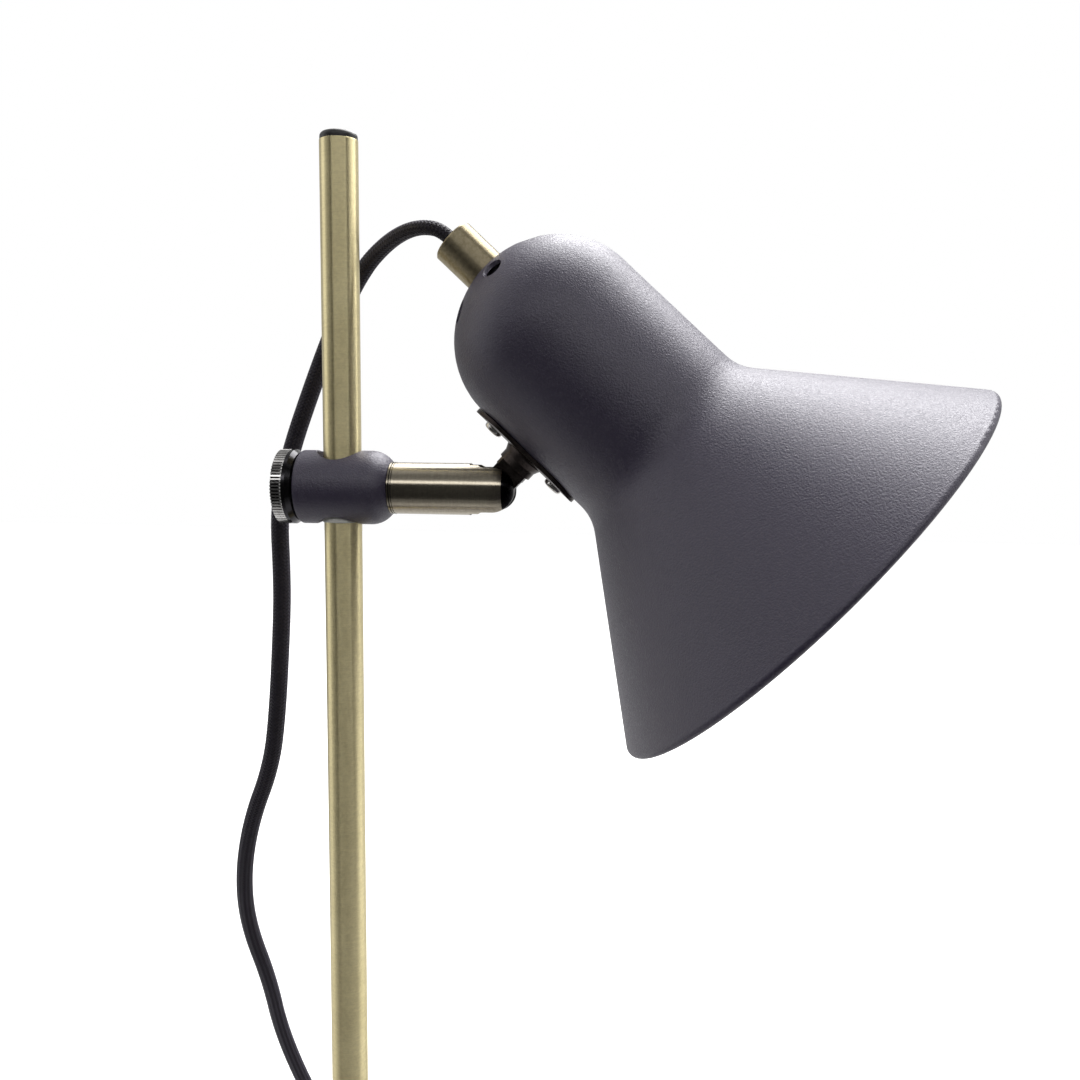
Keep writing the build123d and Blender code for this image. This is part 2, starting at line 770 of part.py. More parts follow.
with BuildPart() as holder_insert:
    with BuildSketch(across_plane(holder_cap_end + seat)):
        Circle(holder_radius - holder_wall - fit)
    extrude(amount=insert_thickness)
    with BuildSketch(across_plane(holder_cap_end)):
        with GridLocations(0, wire_hole_spacing, 1, 2):
            Circle(wire_hole_radius)
    extrude(amount=2 * insert_thickness, mode=Mode.SUBTRACT)
holder_insert.part.label = "holder_insert"
export_step(holder_insert.part, "parts/holder_insert.step")

contact_station = holder_cap_end + insert_thickness + 2 * seat
with BuildPart() as holder_contact:
    with BuildSketch(across_plane(contact_station)):
        Rectangle(contact_length, contact_width)
    extrude(amount=contact_thickness)
holder_contact.part.label = "holder_contact"
export_step(holder_contact.part, "parts/holder_contact.step")

with BuildPart() as holder_thread:
    with BuildSketch(across_plane(contact_station)):
        Circle(bulb_cap_radius + fit + thread_wall)
        Circle(bulb_cap_radius + fit, mode=Mode.SUBTRACT)
    extrude(amount=bulb_start + bulb_cap_length - thread_short - contact_station)
holder_thread.part.label = "holder_thread"
export_step(holder_thread.part, "parts/holder_thread.step")

# ---- bulb ---------------------------------------------------------------------------------------

with BuildPart() as bulb_tip:
    with BuildSketch(across_plane(contact_station + contact_thickness + seat)):
        Circle(bulb_tip_radius)
    extrude(amount=bulb_start - contact_station - contact_thickness - 2 * seat)
bulb_tip.part.label = "bulb_tip"
export_step(bulb_tip.part, "parts/bulb_tip.step")

with BuildPart() as bulb_cap:
    with BuildSketch(across_plane(bulb_start)):
        Circle(bulb_cap_radius)
    extrude(amount=bulb_cap_length)
    chamfer(bulb_cap.edges().sort_by(shade_axis)[0], length=bulb_cap_chamfer)
    offset(amount=-bulb_cap_wall, openings=bulb_cap.faces().sort_by(shade_axis)[-1])
bulb_cap.part.label = "bulb_cap"
export_step(bulb_cap.part, "parts/bulb_cap.step")

housing_start = bulb_start + bulb_cap_length + seat
housing_end = housing_start + bulb_housing_length
with BuildPart() as bulb_housing:
    with BuildSketch(bell_plane):
        Polygon(
            (housing_start, 0),
            (housing_start, bulb_cap_radius),
            (housing_end, bulb_housing_radius),
            (housing_end, 0),
            align=None,
        )
    revolve(axis=shade_axis)
bulb_housing.part.label = "bulb_housing"
export_step(bulb_housing.part, "parts/bulb_housing.step")

globe_centre = housing_end + sqrt(globe_radius**2 - bulb_housing_radius**2)
with BuildPart() as bulb_globe:
    with BuildSketch(bell_plane):
        with Locations((globe_centre, 0)):
            Circle(globe_radius)
            Circle(globe_radius - globe_wall, mode=Mode.SUBTRACT)
        with Locations((housing_end + seat, 0)):
            Rectangle(
                4 * globe_radius, globe_radius, align=(Align.MIN, Align.MIN), mode=Mode.INTERSECT
            )
    revolve(axis=shade_axis)
bulb_globe.part.label = "bulb_globe"
export_step(bulb_globe.part, "parts/bulb_globe.step")

# ---- cord ---------------------------------------------------------------------------------------

cord_inside_end = holder_start + holder_wall + cord_tail
with BuildPart() as cord_inside:
    with BuildSketch(across_plane(-gland_length)):
        Circle(cord_radius)
    extrude(amount=gland_length + cord_inside_end)
cord_inside.part.label = "cord_inside"
export_step(cord_inside.part, "parts/cord_inside.step")


def corner_radii(points):
    """The largest tangent arc at each corner of a route that leaves its runs room."""
    radii = []
    for before, here, after in zip(points, points[1:], points[2:]):
        run_in = here - before
        run_out = after - here
        turn = radians(run_in.get_angle(run_out))
        radii.append(0.45 * min(run_in.length, run_out.length) / tan(turn / 2))
    return radii


def on_clamp(x, y, z):
    """A point of the route given from the middle of the clamp."""
    return Vector(x, y, clamp_height + z)


exit_point = apex - along * gland_length
table = cord_radius  # height of the cord's middle where it lies on the table
switch_entry = switch_split
turn_radius = coil_radius + cord_radius

upper_route = [
    exit_point,
    exit_point - along * 4.6,
    on_clamp(29.2, 1.3, 85.6),
    on_clamp(23.6, 3.2, 85.4),
    on_clamp(17.9, 5.4, 83.4),
    on_clamp(12.2, 7.9, 80.0),
    on_clamp(6.2, 10.4, 75.0),
    on_clamp(-0.6, 12.2, 65.5),
    on_clamp(-8.0, 13.2, 50.5),
    on_clamp(-16.0, 14.3, 31.5),
    on_clamp(-24.2, 17.0, 12.0),
    on_clamp(-30.0, 18.6, -8.0),
    on_clamp(-29.5, 18.4, -22.0),
]
middle_route = [
    on_clamp(-29.5, 18.4, -22.0),
    on_clamp(-29.0, 18.2, -36.0),
    on_clamp(-29.4, 17.8, -52.0),
    on_clamp(-30.7, 18.4, -68.0),
]
lower_route = [
    on_clamp(-30.7, 18.4, -68.0),
    on_clamp(-32.0, 19.0, -84.0),
    on_clamp(-36.0, 22.0, -106.0),
    on_clamp(-46.8, 27.5, -130.0),
    on_clamp(-54.2, 36.0, -156.0),
    on_clamp(-57.2, 47.0, -182.0),
    on_clamp(-54.0, 60.0, -212.0),
    on_clamp(-55.0, 74.0, -242.0),
    on_clamp(-51.5, 90.0, -276.0),
    on_clamp(-48.2, 103.5, -299.0),
    on_clamp(-44.0, 120.0, -319.0),
    Vector(-38.5, 132.0, table),
    Vector(-31.0, 141.5, table),
    Vector(-20.5, 147.5, table + 2.0),
    Vector(-8.0, switch_y, switch_entry),
    Vector(switch_x - switch_length / 2, switch_y, switch_entry),
]
entry_route = [
    Vector(switch_x + switch_length / 2, switch_y, switch_entry),
    Vector(switch_x + switch_length / 2 + 11, switch_y, switch_entry),
    Vector(coil_x - 12, coil_y + turn_radius, table + coil_lift),
]
exit_route = [
    Vector(plug_x - 0.2, coil_y - 8, table + coil_lift),
    Vector(plug_x, plug_y + 10, plug_height / 2),
    Vector(plug_x, plug_y, plug_height / 2),
]


def cord_along(route, name):
    """A stretch of the cord, along straight runs joined by tangent arcs, as a part of its own."""
    with BuildPart() as stretch:
        with BuildLine() as path:
            FilletPolyline(*route, radius=corner_radii(route))
        with BuildSketch(Plane(origin=path.line @ 0, z_dir=path.line % 0)):
            Circle(cord_radius)
        sweep()
    stretch.part.label = name
    export_step(stretch.part, f"parts/{name}.step")
    length = path.wire().length
    fullness = stretch.part.volume / (pi * cord_radius**2 * length)
    radii = [round(radius, 1) for radius in corner_radii(route)]
    print(name, "length", round(length, 1), "fullness", round(fullness, 4), "radii", radii)


cord_along(upper_route, "cord_upper")
cord_along(middle_route, "cord_middle")
cord_along(lower_route, "cord_lower")
cord_along(entry_route, "cord_to_coil")
cord_along(exit_route, "cord_to_plug")

with BuildPart() as cord_coil:
    with BuildSketch(facing((coil_x, coil_y, 0), -1)):
        with Locations((coil_radius, coil_lift + coil_height / 2)):
            RectangleRounded(coil_width, coil_height, cord_radius)
    revolve(axis=Axis((coil_x, coil_y, 0), (0, 0, 1)))
cord_coil.part.label = "cord_coil"
export_step(cord_coil.part, "parts/cord_coil.step")

# The tie goes once round the bundle of turns, at the coil's left side.
with BuildPart() as coil_tie:
    with BuildSketch(facing((coil_x - coil_radius, coil_y, 0), -1)):
        with Locations((0, coil_lift + coil_height / 2)):
            RectangleRounded(
                coil_width + 2 * (tie_gap + tie_thickness),
                coil_height + 2 * (tie_gap + tie_thickness),
                cord_radius + tie_gap + tie_thickness,
            )
            RectangleRounded(
                coil_width + 2 * tie_gap,
                coil_height + 2 * tie_gap,
                cord_radius + tie_gap,
                mode=Mode.SUBTRACT,
            )
    extrude(amount=tie_width / 2, both=True)
coil_tie.part.label = "coil_tie"
export_step(coil_tie.part, "parts/coil_tie.step")

# ---- switch on the cord -------------------------------------------------------------------------

rocker_axis_z = switch_height - rocker_axis_depth
rocker_well = rocker_width + 2 * rocker_gap
switch_middle = Vector(switch_x, switch_y, 0)

with BuildPart() as switch_base:
    with BuildSketch(Plane(origin=switch_middle)):
        RectangleRounded(switch_length, switch_width, switch_round)
    extrude(amount=switch_split - seat)
    chamfer(switch_base.edges().group_by(Axis.Z)[0], length=switch_base_chamfer)
    with BuildSketch(Plane(origin=switch_middle + Vector(0, 0, switch_wall))):
        Rectangle(switch_length - 2 * switch_round, switch_width - 2 * switch_wall)
    extrude(amount=switch_height, mode=Mode.SUBTRACT)
switch_base.part.label = "switch_base"
export_step(switch_base.part, "parts/switch_base.step")

with BuildPart() as switch_cover:
    with BuildSketch(Plane(origin=switch_middle + Vector(0, 0, switch_split))):
        RectangleRounded(switch_length, switch_width, switch_round)
    extrude(amount=switch_height - switch_split)
    chamfer(switch_cover.edges().group_by(Axis.Z)[-1], length=switch_cover_chamfer)
    with BuildSketch(Plane(origin=switch_middle + Vector(0, 0, switch_split))):
        Rectangle(switch_length - 2 * switch_round, switch_width - 2 * switch_wall)
    extrude(amount=switch_height - switch_split - switch_wall, mode=Mode.SUBTRACT)
    with BuildSketch(Plane(origin=switch_middle + Vector(0, 0, switch_split))):
        Rectangle(cheek_length, rocker_well + 2 * (trunnion_length + cheek_wall))
    extrude(amount=switch_height - switch_split - switch_wall)
    with BuildSketch(Plane(origin=switch_middle + Vector(0, 0, switch_split))):
        Rectangle(rocker_length + 2 * rocker_gap, rocker_well)
    extrude(amount=switch_height, mode=Mode.SUBTRACT)
    with BuildSketch(facing(switch_middle + Vector(0, 0, rocker_axis_z), 1)):
        Circle(trunnion_radius + fit)
    extrude(amount=rocker_well / 2 + trunnion_length + fit, both=True, mode=Mode.SUBTRACT)
switch_cover.part.label = "switch_cover"
export_step(switch_cover.part, "parts/switch_cover.step")

# The rocker rests with its near end down, tipped about its two trunnions.
rocker_pivot = switch_middle + Vector(0, 0, rocker_axis_z)
rocker_lean = Vector(cos(radians(rocker_tilt)), 0, sin(radians(rocker_tilt)))
rocker_plane = Plane(origin=rocker_pivot, x_dir=rocker_lean, z_dir=(0, -1, 0))
with BuildPart() as switch_rocker:
    with BuildSketch(rocker_plane):
        Polygon(
            (-rocker_length / 2 + rocker_taper, -rocker_drop),
            (-rocker_length / 2, rocker_rise + rocker_dip),
            (0, rocker_rise),
            (rocker_length / 2, rocker_rise + rocker_dip),
            (rocker_length / 2 - rocker_taper, -rocker_drop),
            align=None,
        )
    extrude(amount=rocker_width / 2, both=True)
    with BuildSketch(rocker_plane):
        Circle(trunnion_radius)
    extrude(amount=rocker_well / 2 + trunnion_length, both=True)
switch_rocker.part.label = "switch_rocker"
export_step(switch_rocker.part, "parts/switch_rocker.step")

# ---- plug ---------------------------------------------------------------------------------------

plug_face = plug_y - plug_taper - plug_length
plug_middle = Vector(plug_x, plug_face, plug_height / 2)

with BuildPart() as plug_body:
    with BuildSketch(facing(plug_middle, 1)):
        SlotOverall(plug_width, plug_height)
    extrude(amount=plug_length)
    with BuildSketch(facing(plug_middle + Vector(0, plug_length, 0), 1)):
        SlotOverall(plug_width, plug_height)
    with BuildSketch(facing(plug_middle + Vector(0, plug_length + plug_taper, 0), 1)):
        SlotOverall(plug_neck_width, plug_neck_height)
    loft()
    with BuildSketch(facing(plug_middle, 1)):
        with GridLocations(pin_spacing, 0, 2, 1):
            Circle(pin_radius + fit)
    extrude(amount=plug_taper, mode=Mode.SUBTRACT)
plug_body.part.label = "plug_body"
export_step(plug_body.part, "parts/plug_body.step")

with BuildPart() as plug_pins:
    with BuildSketch(facing(plug_middle + Vector(0, plug_taper - seat, 0), -1)):
        with GridLocations(pin_spacing, 0, 2, 1):
            Circle(pin_radius)
    extrude(amount=plug_taper + pin_length)
    chamfer(plug_pins.edges().group_by(Axis.Y)[0], length=pin_chamfer)
plug_pins.part.label = "plug_pins"
export_step(plug_pins.part, "parts/plug_pins.step")
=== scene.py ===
"""Looks of a desk lamp with a brass post and a tilting bell shade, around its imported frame."""

import json
import math

import bmesh
import bpy
from mathutils import Matrix, Vector


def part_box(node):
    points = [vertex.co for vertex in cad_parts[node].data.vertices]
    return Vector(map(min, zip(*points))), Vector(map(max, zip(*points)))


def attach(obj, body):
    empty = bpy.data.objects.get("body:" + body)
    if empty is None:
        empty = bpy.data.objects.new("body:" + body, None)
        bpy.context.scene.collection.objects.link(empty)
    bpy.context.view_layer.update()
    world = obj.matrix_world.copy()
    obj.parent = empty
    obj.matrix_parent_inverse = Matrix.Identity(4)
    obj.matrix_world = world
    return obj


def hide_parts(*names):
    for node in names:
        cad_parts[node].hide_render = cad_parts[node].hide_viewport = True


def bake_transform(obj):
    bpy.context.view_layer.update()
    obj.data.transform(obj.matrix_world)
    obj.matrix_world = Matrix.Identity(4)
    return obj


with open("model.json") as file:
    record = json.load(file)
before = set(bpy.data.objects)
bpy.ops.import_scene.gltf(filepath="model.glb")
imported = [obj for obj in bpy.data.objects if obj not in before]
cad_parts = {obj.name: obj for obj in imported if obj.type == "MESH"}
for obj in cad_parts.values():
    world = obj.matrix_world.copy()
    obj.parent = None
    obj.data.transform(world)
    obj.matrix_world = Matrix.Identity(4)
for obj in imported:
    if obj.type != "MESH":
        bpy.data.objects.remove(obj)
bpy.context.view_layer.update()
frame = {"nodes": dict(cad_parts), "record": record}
nodes = frame["nodes"]
collection = bpy.context.scene.collection
bpy.context.scene.view_settings.view_transform = "Standard"

MM = 0.001

# ---- places on the lamp -------------------------------------------------------------------------

CLAMP_HEIGHT = 0.334
SHADE_DROOP = math.radians(42.94)
SHADE_AXIS = Vector((math.cos(SHADE_DROOP), 0, -math.sin(SHADE_DROOP)))
NECK_AXIS = Vector((math.sin(SHADE_DROOP), 0, math.cos(SHADE_DROOP)))
PIVOT = Vector((0.0517, 0, CLAMP_HEIGHT))
SHADE_APEX = PIVOT + NECK_AXIS * (49.8 * MM) - SHADE_AXIS * (50.85 * MM)
GLAND_LENGTH = 14.6 * MM  # from the apex to the cord's exit
GLAND_EXIT = SHADE_APEX - SHADE_AXIS * GLAND_LENGTH
WHEEL_RADIUS = 12.6 * MM
WHEEL_SHOULDER = -17.3 * MM  # along X, where the wheel's flutes end
NOSE_START = 55.3 * MM  # along X, where the arm's end starts, which is painted dark for the dark reflection it shows

# ---- camera -------------------------------------------------------------------------------------

CAMERA_PLACE = Vector((0.1129, -0.3509, 0.3566))
CAMERA_FORWARD = Vector((-0.1279, 0.9857, -0.1099))
CAMERA_UP = Vector((-0.0219, 0.10797, 0.99394))
CAMERA_LENS = 35.744
CAMERA_SENSOR = 36.0


def make_camera():
    """The camera, a little above the lamp's arm, looking slightly down with a slight roll."""
    data = bpy.data.cameras.new("camera")
    data.lens = CAMERA_LENS
    data.sensor_width = CAMERA_SENSOR
    data.clip_start = 0.01
    camera = bpy.data.objects.new("camera", data)
    forward = CAMERA_FORWARD.normalized()
    right = forward.cross(CAMERA_UP).normalized()
    up = right.cross(forward)
    turn = Matrix((right, up, -forward)).transposed().to_4x4()
    camera.matrix_world = Matrix.Translation(CAMERA_PLACE) @ turn
    collection.objects.link(camera)
    bpy.context.scene.camera = camera


# ---- node helpers -------------------------------------------------------------------------------


class Tree:
    """A node tree with short calls for the nodes that the looks share."""

    def __init__(self, owner):
        owner.use_nodes = True
        self.tree = owner.node_tree
        self.tree.nodes.clear()

    def add(self, kind, inputs=None, **settings):
        """Adds a node, sets its properties, and fills its inputs with values or other sockets."""
        node = self.tree.nodes.new("ShaderNode" + kind)
        for name, value in settings.items():
            setattr(node, name, value)
        for name, value in (inputs or {}).items():
            self.fill(node.inputs[name], value)
        return node

    def fill(self, socket, value):
        """Links another socket to a socket, or sets it to a plain value."""
        if isinstance(value, bpy.types.NodeSocket):
            self.tree.links.new(value, socket)
        elif socket.type == "RGBA" and len(value) == 3:
            socket.default_value = (*value, 1)
        else:
            socket.default_value = value

    def maths(self, operation, first, second=0.0):
        return self.add("Math", {0: first, 1: second}, operation=operation).outputs[0]

    def mix(self, share, first, second, blend="MIX"):
        """A colour between two others, or another blend of them."""
        node = self.add("Mix", data_type="RGBA", blend_type=blend)
        self.fill(node.inputs["Factor"], share)
        self.fill(node.inputs["A"], first)
        self.fill(node.inputs["B"], second)
        return node.outputs["Result"]

    def spread(self, value, low, high, to_low=0.0, to_high=1.0):
        """A value moved from one range to another, and kept inside it."""
        inputs = {0: value, 1: low, 2: high, 3: to_low, 4: to_high}
        return self.add("MapRange", inputs).outputs[0]

    def ramp(self, value, stops):
        """A grey level that follows stops of (value, level)."""
        low, high = stops[0][0], stops[-1][0]
        node = self.add("ValToRGB", {0: self.spread(value, low, high)})
        elements = node.color_ramp.elements
        while len(elements) < len(stops):
            elements.new(0.5)
        for element, (at, level) in zip(elements, stops):
            element.position = (at - low) / (high - low)
            element.color = (level, level, level, 1)
        return node.outputs[0]

    def noise(self, place, scale, detail=2.0, roughness=0.5):
        """A cloudy value, of about so many spots to the metre as the scale says."""
        inputs = {"Vector": place, "Scale": scale, "Detail": detail, "Roughness": roughness}
        return self.add("TexNoise", inputs).outputs["Fac"]

    def cells(self, place, scale):
        """A random value for each cell of an uneven pattern, of so many cells to the metre."""
        node = self.add("TexVoronoi", {"Vector": place, "Scale": scale})
        return self.add("SeparateColor", {0: node.outputs["Color"]}).outputs[0]

    def place(self, stretch=(1, 1, 1)):
        """The object's own coordinates, in metres, stretched along its axes."""
        coordinates = self.add("TexCoord").outputs["Object"]
        return self.add("Mapping", {"Vector": coordinates, "Scale": stretch}).outputs[0]

    def bump(self, height, distance, strength):
        node = self.add("Bump", {"Height": height, "Distance": distance, "Strength": strength})
        return node.outputs["Normal"]

    def dot(self, vector, axis):
        """How far a vector reaches along an axis."""
        inputs = {0: vector, 1: axis}
        return self.add("VectorMath", inputs, operation="DOT_PRODUCT").outputs["Value"]

    def seen(self):
        """1 for what the camera sees, also through glass, and 0 for all other light."""
        rays = self.add("LightPath").outputs
        return self.maths("MAXIMUM", rays["Is Camera Ray"], rays["Is Transmission Ray"])

    def surface(self, **sockets):
        """The Principled shader and the output that it feeds."""
        shader = self.add("BsdfPrincipled")
        for name, value in sockets.items():
            self.fill(shader.inputs[name.replace("_", " ").title()], value)
        self.output(shader.outputs[0])
        return shader

    def output(self, shader, kind="OutputMaterial"):
        self.fill(self.add(kind).inputs["Surface"], shader)


looks = {}


def new_material(name):
    """The node tree of a new material, which is kept in looks under its name."""
    looks[name] = bpy.data.materials.new(name)
    return Tree(looks[name])


# ---- materials ----------------------------------------------------------------------------------


def graphite_paint():
    """Satin powder coat: a fine metallic grain that sparkles where light falls on it."""
    tree = new_material("graphite_paint")
    place = tree.place()
    grain = tree.noise(place, 1600, 2, 0.7)
    fleck = tree.cells(place, 2400)
    cloud = tree.noise(place, 45, 3)
    ground = tree.mix(cloud, (0.024, 0.018, 0.042), (0.032, 0.024, 0.053))
    colour = tree.mix(tree.spread(fleck, 0.6, 1.0, 0.0, 0.12), ground, (0.18, 0.175, 0.195))
    shader = tree.surface(
        base_color=colour,
        roughness=tree.spread(fleck, 0.0, 1.0, 0.38, 0.54),
        normal=tree.bump(grain, 0.00022, 0.9),
    )
    shader.inputs["IOR"].default_value = 1.8
    shader.inputs["Specular Tint"].default_value = (0.96, 0.94, 1.0, 1)


# Painted shade in the ring's grooves: how far it reaches from a groove's middle, and its colour.
GROOVE_BOTTOM = 0.10 * MM  # from a groove's middle
GROOVE_EDGE = 0.22 * MM
GROOVE_SHADE_COLOUR = (0.012, 0.010, 0.009)
# A painted dark reflection on the arm's round end.
NOSE_DARK_REFLECTION = (0.012, 0.011, 0.012)
NOSE_EDGE = 0.03 * MM  # over which the painted dark reflection sets in
NOSE_ROUGHNESS = 0.22


def around(tree, axis):
    """The direction round an axis of the piece, which follows the piece as it turns."""
    turned = tree.add("VectorTransform", {0: axis}, vector_type="VECTOR", convert_from="OBJECT",
                      convert_to="WORLD").outputs[0]
    normal = tree.add("NewGeometry").outputs["Normal"]
    return tree.add("VectorMath", {0: turned, 1: normal}, operation="CROSS_PRODUCT").outputs[0]


def brushed(name, dark, light, axis, stretch, roughness, metallic=1.0, dark_reflection_from=None, grooves=()):
    """Metal brushed round an axis: short hairlines, and reflections drawn out along the axis.
    Beyond dark_reflection_from along X, where that is given, it is painted dark for the dark
    reflection there, and its grooves get painted shade."""
    tree = new_material(name)
    hair = tree.noise(tree.place(stretch), 1.0, 3, 0.6)
    mottle = tree.noise(tree.place(), 900, 2, 0.6)
    cloud = tree.noise(tree.place(), 90, 3)
    tone = tree.maths("ADD", tree.maths("MULTIPLY", hair, 0.3), tree.maths("MULTIPLY", mottle, 0.4))
    tone = tree.maths("ADD", tone, tree.maths("MULTIPLY", cloud, 0.3))
    colour = tree.mix(tree.spread(tone, 0.38, 0.62), dark, light)
    rough = tree.spread(mottle, 0.3, 0.7, roughness - 0.04, roughness + 0.04)
    across = tree.add("SeparateXYZ", {0: tree.place()}).outputs[0]
    # Painted shade darkens each groove.
    for groove in grooves:
        aside = tree.maths("ABSOLUTE", tree.maths("SUBTRACT", across, groove))
        colour = tree.mix(tree.spread(aside, GROOVE_BOTTOM, GROOVE_EDGE), GROOVE_SHADE_COLOUR, colour)
    # Painted reflection: beyond the given place along X the metal is darkened.
    if dark_reflection_from is not None:
        beyond = tree.spread(across, dark_reflection_from, dark_reflection_from + NOSE_EDGE)
        colour = tree.mix(beyond, colour, NOSE_DARK_REFLECTION)
        rough = tree.spread(beyond, 0.0, 1.0, roughness, NOSE_ROUGHNESS)
    shader = tree.surface(base_color=colour, metallic=metallic, roughness=rough,
                          tangent=around(tree, axis))
    shader.inputs["Anisotropic"].default_value = 1.0
    shader.inputs["Anisotropic Rotation"].default_value = 0.25


# Depths of the painted shade in the flutes, under the wheel's full radius. Further in, on its flat
# side, none is painted.
FLUTE_SHADE_STARTS = 0.10 * MM
FLUTE_SHADE_FULL = 0.34 * MM
FLUTE_SHADE_FADES = 0.50 * MM
FLUTE_SHADE_GONE = 0.62 * MM
SHOULDER_EDGE = 0.05 * MM  # over which the shoulder's painted dark reflection sets in
FLUTE_SHADE_COLOUR = (0.006, 0.006, 0.007)
SHOULDER_DARK_REFLECTION = (0.035, 0.034, 0.037)


def knurled_steel():
    """Bright steel with painted shade deep in its flutes, and a shoulder painted dark for the dark
    reflection it shows.
    """
    tree = new_material("wheel_steel")
    place = tree.place()
    split = tree.add("SeparateXYZ", {0: place})
    up = tree.maths("SUBTRACT", split.outputs[2], CLAMP_HEIGHT)
    back = split.outputs[1]
    squares = tree.maths("ADD", tree.maths("MULTIPLY", up, up), tree.maths("MULTIPLY", back, back))
    radius = tree.maths("SQRT", squares)
    fluted = tree.spread(split.outputs[0], WHEEL_SHOULDER - SHOULDER_EDGE, WHEEL_SHOULDER, 1.0, 0.0)
    deep = tree.spread(radius, WHEEL_RADIUS - FLUTE_SHADE_FULL, WHEEL_RADIUS - FLUTE_SHADE_STARTS, 1.0, 0.0)
    side = tree.spread(radius, WHEEL_RADIUS - FLUTE_SHADE_GONE, WHEEL_RADIUS - FLUTE_SHADE_FADES)
    # Painted shade: deep in the flutes the steel is darkened.
    flute_shade = tree.maths("MULTIPLY", tree.maths("MULTIPLY", deep, side), fluted)
    tone = tree.noise(place, 500, 3, 0.6)
    steel = tree.mix(tree.spread(tone, 0.35, 0.65), (0.46, 0.45, 0.44), (0.66, 0.65, 0.64))
    # Painted reflection: the shoulder is darkened where it mirrors the dark room in front.
    steel_and_shoulder = tree.mix(fluted, SHOULDER_DARK_REFLECTION, steel)
    colour = tree.mix(flute_shade, steel_and_shoulder, FLUTE_SHADE_COLOUR)
    tree.surface(
        base_color=colour,
        metallic=1.0,
        roughness=tree.spread(flute_shade, 0.0, 1.0, 0.20, 0.5),
    )


def plain_metal(name, dark, light, roughness, scale=400):
    """Metal with small changes of tone and gloss, and faint handling marks."""
    tree = new_material(name)
    place = tree.place()
    tone = tree.noise(place, scale, 4, 0.6)
    smear = tree.noise(place, scale / 8, 2)
    colour = tree.mix(tree.spread(tone, 0.35, 0.65), dark, light)
    rough = tree.spread(smear, 0.3, 0.7, roughness - 0.06, roughness + 0.08)
    tree.surface(
        base_color=colour,
        metallic=1.0,
        roughness=rough,
        normal=tree.bump(tone, 0.00002, 0.5),
    )


def plain_coat(name, dark, light, roughness, scale=900, depth=0.00003):
    """Plastic, glazed or pressed stuff: an even colour over a fine moulded grain."""
    tree = new_material(name)
    place = tree.place()
    grain = tree.noise(place, scale, 3, 0.6)
    cloud = tree.noise(place, scale / 20, 2)
    colour = tree.mix(tree.spread(cloud, 0.3, 0.7), dark, light)
    rough = tree.spread(grain, 0.3, 0.7, roughness - 0.05, roughness + 0.05)
    tree.surface(base_color=colour, roughness=rough, normal=tree.bump(grain, depth, 0.6))


BRAID_STRANDS = 12  # each way round the cord
BRAID_PERIOD = 1.3 * MM  # along the cord, of one strand


def braided_fabric():
    """Two sets of strands that pass over and under each other, each a bundle of shiny threads.
    U counts the braid's periods along the cord, and V goes once round it."""
    tree = new_material("cord_fabric")
    uv = tree.add("UVMap", uv_map="UVMap").outputs[0]
    split = tree.add("SeparateXYZ", {0: uv})
    strand = tree.maths("MULTIPLY", split.outputs[1], BRAID_STRANDS)
    first = tree.maths("ADD", split.outputs[0], strand)
    second = tree.maths("SUBTRACT", split.outputs[0], strand)

    def rounded(value):
        """The height of a round strand over one step of the pattern."""
        share = tree.maths("SUBTRACT", tree.maths("FRACT", value), 0.5)
        square = tree.maths("MULTIPLY", tree.maths("MULTIPLY", share, share), 4.0)
        return tree.maths("SUBTRACT", 1.0, square)

    sum_of_steps = tree.maths("ADD", tree.maths("FLOOR", first), tree.maths("FLOOR", second))
    over = tree.maths("PINGPONG", sum_of_steps, 1.0)
    turned = tree.maths("SUBTRACT", 1.0, over)
    high = tree.maths("ADD", tree.maths("MULTIPLY", rounded(first), over),
                      tree.maths("MULTIPLY", rounded(second), turned))
    threads = tree.add("CombineXYZ", {0: tree.maths("MULTIPLY", first, 2.0),
                                      1: tree.maths("MULTIPLY", second, 2.0), 2: over}).outputs[0]
    fuzz = tree.noise(threads, 2.4, 4, 0.7)
    height = tree.maths("ADD", high, tree.maths("MULTIPLY", fuzz, 0.7))
    # Partly painted shade: the low places between strands are darker. The thread fuzz adds real
    # tone.
    colour = tree.mix(tree.spread(height, 0.5, 1.5), (0.0025, 0.0018, 0.004), (0.017, 0.013, 0.023))
    shader = tree.surface(
        base_color=colour,
        roughness=tree.spread(fuzz, 0.3, 0.7, 0.40, 0.62),
        normal=tree.bump(height, 0.00016, 0.9),
    )
    shader.inputs["Specular IOR Level"].default_value = 0.3
    shader.inputs["Sheen Weight"].default_value = 0.2
    shader.inputs["Sheen Roughness"].default_value = 0.4
    shader.inputs["Sheen Tint"].default_value = (0.50, 0.42, 0.65, 1)


def opal_glass():
    """Milky glass, a little translucent."""
    tree = new_material("opal_glass")
    cloud = tree.noise(tree.place(), 60, 2)
    colour = tree.mix(cloud, (0.80, 0.79, 0.76), (0.88, 0.87, 0.84))
    shader = tree.surface(base_color=colour, roughness=0.32)
    shader.inputs["Subsurface Weight"].default_value = 0.3
    shader.inputs["Subsurface Scale"].default_value = 0.004


ring_low, ring_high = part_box("arm_ring")

